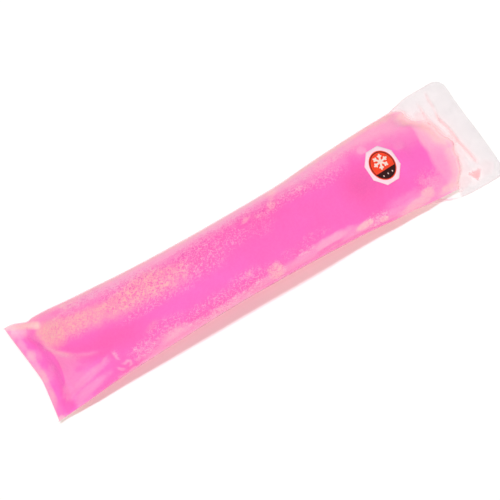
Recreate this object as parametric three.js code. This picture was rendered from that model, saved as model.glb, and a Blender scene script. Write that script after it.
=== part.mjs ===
// An ice pop: flavoured ice frozen inside a clear tube of plastic film, with a small paper label.
//
// The tube is flat film, sealed across both ends. Where ice fills it, it is round and narrow, and
// towards its ends it flattens and widens, because film can't stretch: every section has the same
// perimeter. Ice runs right up to the bottom seal, and the last stretch at the top is empty film.
// The pop lies as it was frozen, on its flat underside. Its length runs along X, with the bottom
// seal at -X, and Z is up. Millimetres.

import * as THREE from "three";

// Driving dimensions
const LENGTH = 191.9; // of the tube, before its ends are bent and cut to shape
const FILM_STACK = 0.8; // two walls of film with the air between them
const FOLD_LIP = 0.5; // the pressed fold that stands out along each side
const RESTING_SINK = 0.7; // how far the underside was pressed flat while it froze
const STRETCH = 7; // over which the film evens out its thickness

const HALF = LENGTH / 2;
const FILM_HALF = FILM_STACK / 2;

// Outline of the tube from above: half width at x, for the side of +Y and for the side of -Y. The
// first stands out at the corner of the bottom seal, dips where the folded corner ends, and flares
// early at the top, because the ice leans to that side there. Both end at the width of empty film.
const HIGH_SIDE = [
  [-96, 21.1], [-92.6, 20.9], [-90.7, 20.4], [-88.7, 19.5], [-86.8, 18.8], [-84.5, 19.15], [-80, 18.95],
  [-70, 17.85], [-60, 17.1], [-50, 16.35], [-40, 15.8], [-28, 15.4], [-15, 15.2], [0, 15.25],
  [10, 15.35], [20, 15.7], [30, 16.7], [40, 17.5], [50, 18.2], [60, 18.75], [66, 19.05],
  [70, 19.4], [73, 20.15], [78, 21.3], [86, 21.5], [96, 21.5],
];
const LOW_SIDE = [
  [-96, 19.6], [-90, 19.2], [-80, 18.6], [-70, 17.7], [-60, 17.2], [-45, 16.6], [-25, 15.9],
  [-10, 15.65], [10, 15.85], [30, 16.3], [42, 16.8], [50, 17.5], [60, 17.95], [66, 18.8],
  [70, 20.1], [75, 21.75], [80, 22.45], [86, 22.7], [96, 22.7],
];
// Bottom seal: how far it is drawn in along X, by share of the half width from -Y to +Y
const SEAL_EDGE = [
  [-1, 0.75], [-0.8, 1.3], [-0.4, 2.25], [-0.12, 2.68], [0.2, 1.95], [0.6, 0.8], [0.8, 0.25], [1, -0.2],
];
const SEAL_FLANGE = 3; // flat film along the seal
const SEAL_RISE = 17; // from the flange to the full section
const SEAL_LIFT = 2.4; // height of the seal above the table

// Top flap: how far the slanted cut runs beyond the tube's end, by y
const FLAP_EDGE = [[-23, 0.8], [-16, 0.42], [-8, -0.1], [-4, -0.38], [4, -1.2], [12, -2.05], [22, -2.9]];
const FLAP_LIFT = 1.5; // the empty film stays this far off the table
const WIDE_CORNER = 4.6; // rounding of the flap's +Y corner
const SMALL_CORNER = 4.2; // rounding of its -Y corner
const END_BLEND = 14; // over which the grid takes up the shape of an end

// Label
const LABEL_ALONG = 12.3;
const LABEL_ACROSS = 14.7;
const LABEL_SIDES = 8;
const LABEL_TURN = THREE.MathUtils.degToRad(3.5);
const LABEL_X = 56.2;
const LABEL_Y = 2.1;
const LABEL_THICK = 0.3;
const LABEL_GAP = 0.3;

// Soft creases: each is a ridge of the given height and half-width along a short run of points [x, y].
const SEAL_CREASES = [
  { height: 0.8, width: 0.8, run: [[-94.3, 20.4], [-90, 18.5], [-86, 16.4]] },
  { height: 0.9, width: 1.5, run: [[-88, 17.4], [-86, 16.4], [-84.6, 15.5]] },
  { height: 0.35, width: 0.9, run: [[-87.5, -14.4], [-80, -12.6], [-72, -11.3], [-67, -8.6]] },
  { height: 0.3, width: 0.8, run: [[-86.5, -16.4], [-77, -15.4], [-70, -14.4]] },
  { height: 0.25, width: 0.8, run: [[-83, -7.5], [-77, -8.3], [-71, -7.5]] },
];
const FLAP_CREASES = [
  {
    height: 0.45,
    width: 1.1,
    run: [[85.6, 14], [84.9, 8], [86.3, 3], [87.1, -3.6], [88.4, -9], [89.3, -15]],
  },
  { height: 0.3, width: 1.0, run: [[81, 19], [81.1, 12], [81.8, 7], [83.6, 2]] },
  { height: 0.2, width: 1.0, run: [[86, 20], [85.4, 16], [85.6, 12]] },
  { height: 0.3, width: 0.9, run: [[84.6, -16.2], [88.2, -16.8], [85.6, -19.4]] },
];

const clamp01 = (t) => Math.min(1, Math.max(0, t));
const smooth = (from, to, t) => {
  const k = clamp01((t - from) / (to - from));
  return k * k * (3 - 2 * k);
};
const bell = (t) => Math.exp(-t * t);

const last = (list) => list[list.length - 1];
const outlineOf = (side) => (side > 0 ? HIGH_SIDE : LOW_SIDE);
const emptyHalf = (side) => last(outlineOf(side))[1];
const FLAT_WIDTH = emptyHalf(1) + emptyHalf(-1);

// Height of a tube of this flat width once it is filled to the given plan width: flat above and
// below, with half-round sides, its perimeter is 2 w + (pi - 2) h.
function roundHeight(width) {
  return (2 * FLAT_WIDTH - 2 * width) / (Math.PI - 2);
}

// Value at x of a smooth curve through a list of points [x, value]: between two points it is the
// cubic whose slope at each of them is that of the line between its neighbours.
function curveAt(points, x) {
  const end = points.length - 1;
  const ahead = points.findIndex(([px]) => px > x);
  const i = ahead < 0 ? end - 1 : Math.max(0, ahead - 1);
  const slope = (k) => {
    const [before, after] = [points[Math.max(0, k - 1)], points[Math.min(end, k + 1)]];
    return (after[1] - before[1]) / (after[0] - before[0]);
  };
  const span = points[i + 1][0] - points[i][0];
  const t = clamp01((x - points[i][0]) / span);
  const ease = t * t * (3 - 2 * t);
  const bend = t * (1 - t) * ((1 - t) * slope(i) - t * slope(i + 1)) * span;
  return points[i][1] + (points[i + 1][1] - points[i][1]) * ease + bend;
}

// Half of the plan width at x, on the side of +Y (side 1) or -Y (side -1).
function halfWidth(x, side) {
  return Math.min(emptyHalf(side), curveAt(outlineOf(side), x));
}

const THICKEST = roundHeight(halfWidth(0, 1) + halfWidth(0, -1));

// Thickness of the filled tube at x. The bottom seal holds it down over SEAL_RISE, and towards the
// flap it is evened out: there it is the mean over a stretch.
function sectionHeight(x) {
  const heightAt = (at) => Math.max(FILM_STACK, roundHeight(halfWidth(at, 1) + halfWidth(at, -1)));
  const reach = STRETCH * smooth(30, 60, x);
  const full = (heightAt(x - reach) + heightAt(x) + heightAt(x + reach)) / 3;
  const fromSeal = x + HALF - SEAL_FLANGE;
  const rise = Math.sin((Math.PI / 2) * clamp01(fromSeal / SEAL_RISE)) ** 1.1;
  return FILM_STACK + (full - FILM_STACK) * rise;
}

// Height of the middle of the section: on the table along the body, raised at the seal and the flap.
function middleHeight(x) {
  const height = sectionHeight(x);
  const sink = (RESTING_SINK * (height - FILM_STACK)) / THICKEST;
  const lift = SEAL_LIFT * smooth(-79, -96, x) + FLAP_LIFT * smooth(68, 87, x);
  return height / 2 - sink + lift;
}

// Height of all ridges of a list at (x, y): a bell across each, by distance to its run of points.
function ridges(list, x, y) {
  let sum = 0;
  for (const { height, width, run } of list) {
    let nearest = Infinity;
    for (let i = 1; i < run.length; i++) {
      const [ax, ay] = run[i - 1];
      const [bx, by] = run[i];
      const along = clamp01(
        ((x - ax) * (bx - ax) + (y - ay) * (by - ay)) / ((bx - ax) ** 2 + (by - ay) ** 2),
      );
      nearest = Math.min(nearest, Math.hypot(x - ax - along * (bx - ax), y - ay - along * (by - ay)));
    }
    sum += height * bell(nearest / width);
  }
  return sum;
}

// Relief of the upper wall beside the bottom seal: a valley along the flange, a web of film that
// lies lower than the round end of the ice and meets it along a curved step, and creases.
function sealRelief(x, y) {
  const valley = -0.25 * bell((x + 86.2 + 0.0265 * (y + 0.5) ** 2) / 2.0);
  const stepAt = -8.5 + 17 * Math.exp(-(x + 86.5) / 10.5);
  const web = -0.9 * smooth(-0.8, 2.6, stepAt - y) * smooth(-60, -76, x) * smooth(-92, -85, x);
  return (valley + web + ridges(SEAL_CREASES, x, y)) * smooth(-58, -66, x);
}

// Waves of the empty flap, which move both of its walls together.
function flapWave(x, y) {
  const empty = smooth(76, 86, x);
  const swell = 0.5 * Math.sin(0.16 * y + 0.9) * Math.cos(0.21 * (x - 84));
  const curl = 1.6 * smooth(87, 95, x) * smooth(4, 22, y);
  return empty * (0.5 + swell + curl) + ridges(FLAP_CREASES, x, y) * smooth(74, 80, x);
}

// A broad unevenness of the frozen body.
function bodyRelief(x, y) {
  const body = smooth(-78, -60, x) * smooth(80, 62, x);
  return body * (0.22 * Math.sin(0.083 * x + 0.7) + 0.16 * Math.sin(0.21 * x + 0.34 * y));
}

// Shift along X that bends the straight ends of the grid into the bowed seal and the cut flap.
function endShift(x, y, s) {
  const seal = curveAt(SEAL_EDGE, s);
  const corner = y > 0 ? WIDE_CORNER : SMALL_CORNER;
  const into = clamp01((Math.abs(y) - emptyHalf(y) + corner) / corner);
  const flap = curveAt(FLAP_EDGE, y) - corner * (1 - Math.sqrt(1 - into * into));
  return (
    seal * clamp01((END_BLEND - x - HALF) / END_BLEND) +
    flap * clamp01((END_BLEND + x - HALF) / END_BLEND)
  );
}

// The outer skin at station x and width share s (-1 to 1), on the upper or the lower wall.
function skinPoint(station, s, upper) {
  const half = halfWidth(station, Math.sign(s) || 1);
  const y = s * half;
  const x = station + endShift(station, y, s);
  const height = sectionHeight(station);
  const inner = clamp01((Math.abs(s) * half) / (half - FOLD_LIP));
  const flatness = 1 - (height - FILM_STACK) / THICKEST;
  const crown = (1 - inner ** (upper ? 2.3 : 3.2)) ** (0.5 + 0.25 * flatness);
  const film = FILM_HALF * Math.sqrt(Math.max(0, 1 - s ** 16));
  const wall = film + (height / 2 - FILM_HALF) * crown;
  const middle = middleHeight(station) + flapWave(x, y);
  const relief = (sealRelief(x, y) + bodyRelief(x, y)) * (1 - s ** 6);
  const z = upper ? middle + Math.max(0.6 * film, wall + relief) : middle - wall;
  return [x, y, Math.max(0, z)];
}

// Stations along the tube, close together at its ends and wide apart along its middle.
function stationsOf() {
  const spans = [
    [-HALF, -64, 40],
    [-64, 46, 30],
    [46, 70, 14],
    [70, HALF, 30],
  ];
  const list = spans.flatMap(([from, to, steps]) =>
    Array.from({ length: steps }, (_, i) => from + ((to - from) * i) / steps),
  );
  return [...list, HALF];
}

// One closed skin: rings of upper and lower points at each station, and a strip across each end.
function sleeveGeometry(upperSteps = 26, lowerSteps = 12) {
  const upper = Array.from({ length: upperSteps + 1 }, (_, i) => [
    Math.cos((Math.PI * i) / upperSteps),
    true,
  ]);
  const lower = Array.from({ length: lowerSteps - 1 }, (_, i) => [
    Math.cos((Math.PI * (i + 1)) / lowerSteps + Math.PI),
    false,
  ]);
  const ring = [...upper, ...lower];
  const stations = stationsOf();
  const points = stations.flatMap((x) => ring.flatMap(([s, top]) => skinPoint(x, s, top)));
  const n = ring.length;
  const faces = [];
  for (let i = 0; i + 1 < stations.length; i++)
    for (let j = 0; j < n; j++) {
      const [a, b] = [i * n + j, i * n + ((j + 1) % n)];
      faces.push(a, b, a + n, b, b + n, a + n);
    }
  for (const [first, turned] of [
    [0, false],
    [(stations.length - 1) * n, true],
  ]) {
    const cap = THREE.ShapeUtils.triangulateShape(
      ring.map(([s, top]) => new THREE.Vector2(s, top ? Math.sqrt(1 - s * s) : -Math.sqrt(1 - s * s))),
      [],
    );
    for (const [a, b, c] of cap)
      faces.push(first + a, first + (turned ? b : c), first + (turned ? c : b));
  }
  return solidGeometry(points, faces);
}

// An eight-sided plate bent over the sleeve: rings of points from its middle out, above and below.
function labelGeometry(rings = 5, perSide = 4) {
  const around = LABEL_SIDES * perSide;
  const outline = Array.from({ length: around }, (_, i) => {
    const angle = (2 * Math.PI * i) / around;
    const side = (2 * Math.PI) / LABEL_SIDES;
    const reach = 1 / Math.cos((((angle + side / 2) % side) + side) % side - side / 2);
    return [(reach * Math.cos(angle) * LABEL_ALONG) / 2, (reach * Math.sin(angle) * LABEL_ACROSS) / 2];
  });
  const place = ([px, py], share, lift) => {
    const x = LABEL_X + share * (px * Math.cos(LABEL_TURN) - py * Math.sin(LABEL_TURN));
    const y = LABEL_Y + share * (px * Math.sin(LABEL_TURN) + py * Math.cos(LABEL_TURN));
    return [x, y, skinPoint(x, y / halfWidth(x, Math.sign(y) || 1), true)[2] + lift];
  };
  const points = [];
  for (const lift of [LABEL_GAP + LABEL_THICK, LABEL_GAP]) {
    points.push(...place([0, 0], 0, lift));
    for (let k = 1; k <= rings; k++)
      for (const corner of outline) points.push(...place(corner, k / rings, lift));
  }
  const below = 1 + rings * around;
  const faces = [];
  const quad = (a, b, c, d) => faces.push(a, b, c, a, c, d);
  for (let j = 0; j < around; j++) {
    const next = (j + 1) % around;
    faces.push(0, 1 + j, 1 + next, below, below + 1 + next, below + 1 + j);
    for (let k = 1; k < rings; k++) {
      const inner = 1 + (k - 1) * around;
      const outer = inner + around;
      quad(inner + j, outer + j, outer + next, inner + next);
      quad(below + inner + next, below + outer + next, below + outer + j, below + inner + j);
    }
    const rim = 1 + (rings - 1) * around;
    quad(below + rim + j, below + rim + next, rim + next, rim + j);
  }
  return solidGeometry(points, faces);
}

function solidGeometry(points, faces) {
  const geometry = new THREE.BufferGeometry();
  geometry.setAttribute("position", new THREE.Float32BufferAttribute(points, 3));
  geometry.setIndex(faces);
  geometry.computeVertexNormals();
  return geometry;
}

function namedMesh(name, geometry, color, roughness) {
  const mesh = new THREE.Mesh(
    geometry,
    new THREE.MeshStandardMaterial({ color, roughness, metalness: 0 }),
  );
  mesh.name = name;
  return mesh;
}

const pop = new THREE.Group();
pop.add(namedMesh("filled_sleeve", sleeveGeometry(), 0xff6dbf, 0.25));
pop.add(namedMesh("label", labelGeometry(), 0xff4b2d, 0.45));

// The origin lies under the middle of the sleeve's box, on the table.
const box = new THREE.Box3().setFromObject(pop.children[0]);
pop.position.set(-(box.min.x + box.max.x) / 2, -(box.min.y + box.max.y) / 2, -box.min.z);

export default pop;
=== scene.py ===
"""An ice pop: flavoured ice frozen in a clear tube of plastic film, with a small paper label.

Laid out as a Blender add-on and run as a script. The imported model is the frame. The filled sleeve
is replaced by the ice and by the film around it, and the label by a printed one. Every shape is a
function of two parameters on a grid, worked out in millimetres and written in metres. X runs along
the pop from its bottom seal to its empty flap, Y across it, and Z up from the table.
"""

import math

import bmesh
import bpy
import numpy as np
from bpy.props import FloatProperty, FloatVectorProperty, PointerProperty
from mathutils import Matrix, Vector


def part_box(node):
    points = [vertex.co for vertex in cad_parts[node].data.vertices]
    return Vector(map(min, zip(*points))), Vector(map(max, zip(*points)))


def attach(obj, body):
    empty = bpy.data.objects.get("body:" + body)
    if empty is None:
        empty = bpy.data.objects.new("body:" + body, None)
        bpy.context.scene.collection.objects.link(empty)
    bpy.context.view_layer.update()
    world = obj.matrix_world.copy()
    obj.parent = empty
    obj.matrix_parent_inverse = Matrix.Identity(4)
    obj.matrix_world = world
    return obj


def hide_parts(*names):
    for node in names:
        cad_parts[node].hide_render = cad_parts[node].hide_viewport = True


bl_info = {
    "name": "Ice Pop",
    "version": (1, 0, 0),
    "blender": (4, 5, 0),
    "location": "3D View > Sidebar > Ice Pop",
    "description": "Builds an ice pop in its clear sleeve around the packed model",
    "category": "Add Mesh",
}

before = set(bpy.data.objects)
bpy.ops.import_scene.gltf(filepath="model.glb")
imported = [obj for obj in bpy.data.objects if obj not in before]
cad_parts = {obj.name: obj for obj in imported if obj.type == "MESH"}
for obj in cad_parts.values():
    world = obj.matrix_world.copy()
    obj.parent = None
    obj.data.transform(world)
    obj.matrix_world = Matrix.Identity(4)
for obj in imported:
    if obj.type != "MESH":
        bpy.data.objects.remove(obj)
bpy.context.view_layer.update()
SLEEVE_NODE, LABEL_NODE = "filled_sleeve", "label"
SLEEVE_LOW, SLEEVE_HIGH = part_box(SLEEVE_NODE)
LABEL_LOW, LABEL_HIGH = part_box(LABEL_NODE)
MM = 0.001
BODY = "root"

# Outline of the sleeve from above, in millimetres: half width at x, on the +Y side and the -Y side.
HIGH_SIDE = (
    (-96, 21.1), (-92.6, 20.9), (-90.7, 20.4), (-88.7, 19.5), (-86.8, 18.8), (-84.5, 19.15),
    (-80, 18.95), (-70, 17.85), (-60, 17.1), (-50, 16.35), (-40, 15.8), (-28, 15.4), (-15, 15.2),
    (0, 15.25), (10, 15.35), (20, 15.7), (30, 16.7), (40, 17.5), (50, 18.2), (60, 18.75), (66, 19.05),
    (70, 19.4), (73, 20.15), (78, 21.3), (86, 21.5), (96, 21.5),
)
LOW_SIDE = (
    (-96, 19.6), (-90, 19.2), (-80, 18.6), (-70, 17.7), (-60, 17.2), (-45, 16.6), (-25, 15.9),
    (-10, 15.65), (10, 15.85), (30, 16.3), (42, 16.8), (50, 17.5), (60, 17.95), (66, 18.8), (70, 20.1),
    (75, 21.75), (80, 22.45), (86, 22.7), (96, 22.7),
)
# How far the seal is drawn in along X, by share of the half width, and how far the cut across the
# flap runs beyond the sleeve's end, by y.
SEAL_EDGE = (
    (-1, 0.75), (-0.8, 1.3), (-0.4, 2.25), (-0.12, 2.68), (0.2, 1.95), (0.6, 0.8), (0.8, 0.25),
    (1, -0.2),
)
FLAP_EDGE = (
    (-23, 0.8), (-16, 0.42), (-8, -0.1), (-4, -0.38), (4, -1.2), (12, -2.05), (22, -2.9),
)
FOLD_LIP = 0.2  # the pressed fold that stands out along each side
RESTING_SINK = 0.7  # how far the underside was pressed flat while it froze
SEAL_FLANGE, SEAL_RISE = 3.0, 17.0  # flat film along the seal, and from there to the full section
STRETCH = 7.0  # over which the film evens out its thickness
WIDE_CORNER, SMALL_CORNER = 4.6, 4.2  # rounding of the flap's +Y corner and of its -Y corner
END_BLEND = 14.0  # over which the grid takes up the shape of an end

# The corner of the bottom seal that is folded over, from its tip inwards.
FOLDED_CORNER = ((-94.3, 20.4), (-90, 18.5), (-86, 16.4), (-84.4, 15.5))
# Soft creases of the film: height and half width of a ridge, and its run of points (x, y).
SEAL_CREASES = (
    (0.8, 0.8, ((-94.3, 20.4), (-90, 18.5), (-86, 16.4))),
    (0.9, 1.5, ((-88, 17.4), (-86, 16.4), (-84.6, 15.5))),
    (0.35, 0.9, ((-87.5, -14.4), (-80, -12.6), (-72, -11.3), (-67, -8.6))),
    (0.3, 0.8, ((-86.5, -16.4), (-77, -15.4), (-70, -14.4))),
    (0.25, 0.8, ((-83, -7.5), (-77, -8.3), (-71, -7.5))),
)
FLAP_CREASES = (
    (0.45, 1.1, ((85.6, 14), (84.9, 8), (86.3, 3), (87.1, -3.6), (88.4, -9), (89.3, -15))),
    (0.3, 1, ((81, 19), (81.1, 12), (81.8, 7), (83.6, 2))),
    (0.2, 1, ((86, 20), (85.4, 16), (85.6, 12))),
)
# Thin juice frozen between the walls of the flap: x, y, half length, half width, turn, strength. One
# patch near the cut is a wafer with three corners.
JUICE = (
    (73, -20.4, 6, 1, 6, 0.26), (82.5, -12.5, 3.6, 5, 20, 0.1), (84.5, -7, 2.4, 3.5, 10, 0.12),
    (81, -17.5, 3, 2.2, 20, 0.14), (91, -17, 3, 3, 0, 0.1), (79.5, 12, 2.6, 1.6, -50, 0.16),
    (84.6, -1.6, 1.4, 2.4, 0, 0.3),
)
WAFER = ((84.3, -16), (89.1, -16.3), (86.2, -19.7))


def smooth(low, high, t):
    """0 below low, 1 above high, and the cubic 3k^2 - 2k^3 between them."""
    k = np.clip((t - low) / (high - low), 0.0, 1.0)
    return k * k * (3.0 - 2.0 * k)


def bell(t):
    """A bump of height 1 at 0: e to the power -t^2."""
    return np.exp(-t * t)


def curve_at(points, x):
    """Value at x of a smooth curve through points (x, value): between two points it is the cubic
    whose slope at each of them is that of the line between its neighbours."""
    px, values = np.array(points, float).T
    slope = np.gradient(values, px)
    slope[1:-1] = (values[2:] - values[:-2]) / (px[2:] - px[:-2])
    i = np.clip(np.searchsorted(px, x, side="right") - 1, 0, px.size - 2)
    span = px[i + 1] - px[i]
    t = np.clip((x - px[i]) / span, 0.0, 1.0)
    bend = t * (1 - t) * ((1 - t) * slope[i] - t * slope[i + 1]) * span
    return values[i] + (values[i + 1] - values[i]) * t * t * (3 - 2 * t) + bend


def distance_to_run(run, x, y):
    """Distance from each (x, y) to the nearest place on a run of points joined by straight lines,
    and how far along the run that place is, from 0 to 1."""
    nearest = np.full(np.shape(x), np.inf)
    share = np.zeros(np.shape(x))
    last = len(run) - 1
    for i in range(last):
        (ax, ay), (bx, by) = run[i], run[i + 1]
        length2 = (bx - ax) ** 2 + (by - ay) ** 2
        along = np.clip(((x - ax) * (bx - ax) + (y - ay) * (by - ay)) / length2, 0.0, 1.0)
        gap = np.hypot(x - ax - along * (bx - ax), y - ay - along * (by - ay))
        share = np.where(gap < nearest, (i + along) / last, share)
        nearest = np.minimum(nearest, gap)
    return nearest, share


def ridges(creases, x, y):
    """Sum of all creases: each is its height times a bell of the distance to its run."""
    total = np.zeros(np.shape(x))
    for height, width, run in creases:
        total += height * bell(distance_to_run(run, x, y)[0] / width)
    return total


def mottle(x, y, size, seed):
    """Smooth random unevenness from -1 to 1: random heights on a square lattice of the given
    spacing, blended across each cell by the cubic of smooth."""
    table = np.random.default_rng(seed).uniform(-1.0, 1.0, (128, 128))
    u, v = x / size + 57.3, y / size + 31.7
    i, j = np.floor(u).astype(int), np.floor(v).astype(int)
    a, b = smooth(0.0, 1.0, u - i), smooth(0.0, 1.0, v - j)
    near = table[i % 128, j % 128] * (1 - b) + table[i % 128, (j + 1) % 128] * b
    far = table[(i + 1) % 128, j % 128] * (1 - b) + table[(i + 1) % 128, (j + 1) % 128] * b
    return near * (1 - a) + far * a


def cloudy(x, y, size, seed):
    """Three sizes of mottle on top of each other, each half as large and half as strong."""
    layers = (mottle(x, y, size / 2**k, seed + k) / 2**k for k in range(3))
    return sum(layers) / 1.75


class Sleeve:
    """The sleeve's skin. Every section across it has the same perimeter, because film can't stretch."""

    def __init__(self, sizes):
        self.half_length = sizes.middle_length / MM / 2
        self.flat = (SLEEVE_HIGH.y - SLEEVE_LOW.y) / MM
        self.stack = sizes.film_stack / MM
        self.seal_lift = sizes.seal_lift / MM
        self.flap_lift = sizes.flap_lift / MM
        self.thickest = self.round_height(self.half_width(0.0, 1.0) + self.half_width(0.0, -1.0))
        station = np.array([-self.half_length, self.half_length])[:, None]
        share = np.linspace(-1.0, 1.0, 2001)[None, :]
        x = self.plan(station, share)[0]
        self.middle_x = (x.min() + x.max()) / 2
        self.middle_y = (HIGH_SIDE[-1][1] - LOW_SIDE[-1][1]) / 2

    def round_height(self, width):
        """Height of a filled tube: with flat walls and half-round sides, 2 flat = 2 w + (pi - 2) h."""
        return (2 * self.flat - 2 * width) / (math.pi - 2)

    def half_width(self, x, side):
        """Half of the plan width on one side, from that side's outline."""
        high = np.minimum(HIGH_SIDE[-1][1], curve_at(HIGH_SIDE, x))
        low = np.minimum(LOW_SIDE[-1][1], curve_at(LOW_SIDE, x))
        return np.where(side > 0, high, low)

    def height(self, x):
        """Thickness of the filled tube. The bottom seal holds it down over its rise, and towards the
        flap it is evened out: there it is the mean over a stretch."""
        reach = STRETCH * smooth(30.0, 60.0, x)
        full = sum(
            np.maximum(self.stack, self.round_height(self.half_width(at, 1.0) + self.half_width(at, -1.0)))
            for at in (x - reach, x, x + reach)
        ) / 3
        from_seal = np.clip((x + self.half_length - SEAL_FLANGE) / SEAL_RISE, 0.0, 1.0)
        rise = np.sin(math.pi / 2 * from_seal) ** 1.1
        return self.stack + (full - self.stack) * rise

    def middle(self, x):
        """Height of the middle of the section: half its thickness, less the flat it rests on, and
        lifted at the seal and along the empty flap."""
        height = self.height(x)
        sink = RESTING_SINK * (height - self.stack) / self.thickest
        lift = self.seal_lift * smooth(79.0, 96.0, -x) + self.flap_lift * smooth(68.0, 87.0, x)
        return height / 2 - sink + lift

    def seal_relief(self, x, y):
        """Relief beside the bottom seal: a valley along it, which is a bell across its line, a web of
        film that lies lower than the round end of the ice up to a curved step, and creases."""
        valley = -0.25 * bell((x - valley_line(y)) / 2.0)
        below = smooth(-0.8, 2.6, step_line(x) - y)
        web = -0.9 * below * smooth(60.0, 76.0, -x) * smooth(-92.0, -85.0, x)
        return (valley + web + ridges(SEAL_CREASES, x, y)) * smooth(58.0, 66.0, -x)

    def body_relief(self, x, y):
        """A broad unevenness of the frozen body: two crossed sine waves."""
        body = smooth(-78.0, -60.0, x) * smooth(-80.0, -62.0, -x)
        return body * (0.22 * np.sin(0.083 * x + 0.7) + 0.16 * np.sin(0.21 * x + 0.34 * y))

    def flap_wave(self, x, y):
        """Waves of the empty flap, which move both walls together: a swell of two crossed waves, a
        corner that curls up, and the creases."""
        empty = smooth(76.0, 86.0, x)
        swell = 0.5 * np.sin(0.16 * y + 0.9) * np.cos(0.21 * (x - 84.0))
        curl = 1.6 * smooth(87.0, 95.0, x) * smooth(4.0, 22.0, y)
        return empty * (0.5 + swell + curl) + ridges(FLAP_CREASES, x, y) * smooth(74.0, 80.0, x)

    def plan(self, station, share):
        """Place in plan: y is the share of the half width, and x is the station, bent by the bow of
        the seal at one end and by the slanted, round-cornered cut at the other."""
        y = share * self.half_width(station, np.where(share < 0, -1.0, 1.0))
        corner = np.where(y > 0, WIDE_CORNER, SMALL_CORNER)
        fold = np.where(y > 0, HIGH_SIDE[-1][1], LOW_SIDE[-1][1])
        into = np.clip((np.abs(y) - fold + corner) / corner, 0.0, 1.0)
        seal = curve_at(SEAL_EDGE, share)
        flap = curve_at(FLAP_EDGE, y) - corner * (1 - np.sqrt(1 - into**2))
        end = self.half_length
        near_seal = np.clip((END_BLEND - station - end) / END_BLEND, 0.0, 1.0)
        near_flap = np.clip((END_BLEND + station - end) / END_BLEND, 0.0, 1.0)
        return station + seal * near_seal + flap * near_flap, y

    def crown(self, station, inner, upper):
        """Share of the section's half height at a share of its half width: 1 less that share to a
        power, and the root of the result. Where the tube is flat, the root is a weaker one."""
        flatness = 1 - (self.height(station) - self.stack) / self.thickest
        power = np.where(upper, 2.3, 3.2)
        return np.maximum(0.0, 1 - inner**power) ** (0.5 + 0.25 * flatness)

    def relief(self, x, y, share):
        """All relief of the upper wall, fading out towards the folds."""
        return (self.seal_relief(x, y) + self.body_relief(x, y)) * (1 - share**6)

    def skin(self, station, share, upper):
        """The outside of the film as (x, y, z): from the middle's height, half the film's stack and
        the crown's part of the remaining half height go up, with the relief, or down."""
        x, y = self.plan(station, share)
        half = self.half_width(station, np.where(share < 0, -1.0, 1.0))
        inner = np.clip(np.abs(share) * half / (half - FOLD_LIP), 0.0, 1.0)
        film = self.stack / 2 * np.sqrt(np.maximum(0.0, 1 - share**16))
        wall = film + (self.height(station) / 2 - self.stack / 2) * self.crown(station, inner, upper)
        middle = self.middle(station) + self.flap_wave(x, y)
        raised = middle + np.maximum(0.6 * film, wall + self.relief(x, y, share))
        z = np.where(upper, raised, middle - wall)
        return x, y, np.maximum(0.0, z)

    def film_height(self, x, y):
        """Height of the upper wall over a place away from the ends."""
        return self.skin(x, y / self.half_width(x, np.where(y < 0, -1.0, 1.0)), True)[2]

    def in_frame(self, x, y, z):
        """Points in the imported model's frame, whose origin lies under the middle of the sleeve's box."""
        return np.stack([x - self.middle_x, y - self.middle_y, z], -1)


def valley_line(y):
    """x of the valley that runs along the bottom seal: a parabola, bowed as the seal is."""
    return -86.2 - 0.0265 * (y + 0.5) ** 2


def step_line(x):
    """y of the step where the web of film meets the round end of the ice: it falls off evenly, by
    the same share for each length along X."""
    return -8.5 + 17.0 * np.exp(-(x + 86.5) / 10.5)


def ring_shares(upper_steps, lower_steps):
    """Shares of the half width round one section, evenly spaced in angle, and which are above."""
    above = np.cos(np.linspace(0.0, math.pi, upper_steps + 1))
    below = -np.cos(np.linspace(0.0, math.pi, lower_steps + 1))[1:-1]
    upper = np.concatenate([np.ones(above.size, bool), np.zeros(below.size, bool)])
    return np.concatenate([above, below]), upper


def tube_faces(rows, columns):
    """Quads of a tube whose rows are rings of the same number of points: each joins two neighbours
    of one ring to the same two of the next, and the last point of a ring to its first."""
    i = np.arange(rows - 1)[:, None] * columns
    j = np.arange(columns)[None, :]
    k = (j + 1) % columns
    return np.stack([i + j, i + k, i + columns + k, i + columns + j], -1).reshape(-1, 4)


def cap_faces(ring, upper_count, turned):
    """Triangles that close a ring. Its upper and its lower points are two rows with the same ends,
    and each row steps on by its own even share. The steps of both are put in order, and each makes
    a triangle with the point that the other row has reached."""
    upper = ring[: upper_count + 1]
    lower = np.concatenate([ring[:1], ring[:upper_count:-1], ring[upper_count : upper_count + 1]])
    steps = [np.arange(1, row.size) / (row.size - 1) for row in (upper, lower)]
    goes_up = np.repeat([True, False], [steps[0].size, steps[1].size])
    goes_up = goes_up[np.argsort(np.concatenate(steps), kind="stable")]
    i, j = np.cumsum(goes_up), np.cumsum(~goes_up)
    faces = np.stack([upper[i - goes_up], np.where(goes_up, upper[i], lower[j]), lower[j - ~goes_up]], -1)
    faces = faces[np.all(faces != np.roll(faces, 1, axis=1), axis=1)]
    return faces if turned else faces[:, ::-1]


def new_mesh_object(name, points, *faces):
    """A smooth-shaded object from points in millimetres and from arrays of faces."""
    mesh = bpy.data.meshes.new(name)
    mesh.from_pydata((points * MM).tolist(), [], [face for group in faces for face in group.tolist()])
    mesh.validate()
    mesh.polygons.foreach_set("use_smooth", np.ones(len(mesh.polygons), bool))
    mesh.update()
    piece = bpy.data.objects.new(name, mesh)
    bpy.context.scene.collection.objects.link(piece)
    return piece


def set_values(piece, name, values):
    """Stores one number for each point of a piece, for its material to read."""
    attribute = piece.data.attributes.new(name, "FLOAT", "POINT")
    attribute.data.foreach_set("value", np.clip(values, 0.0, 1.0).astype(np.float32).ravel())


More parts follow.
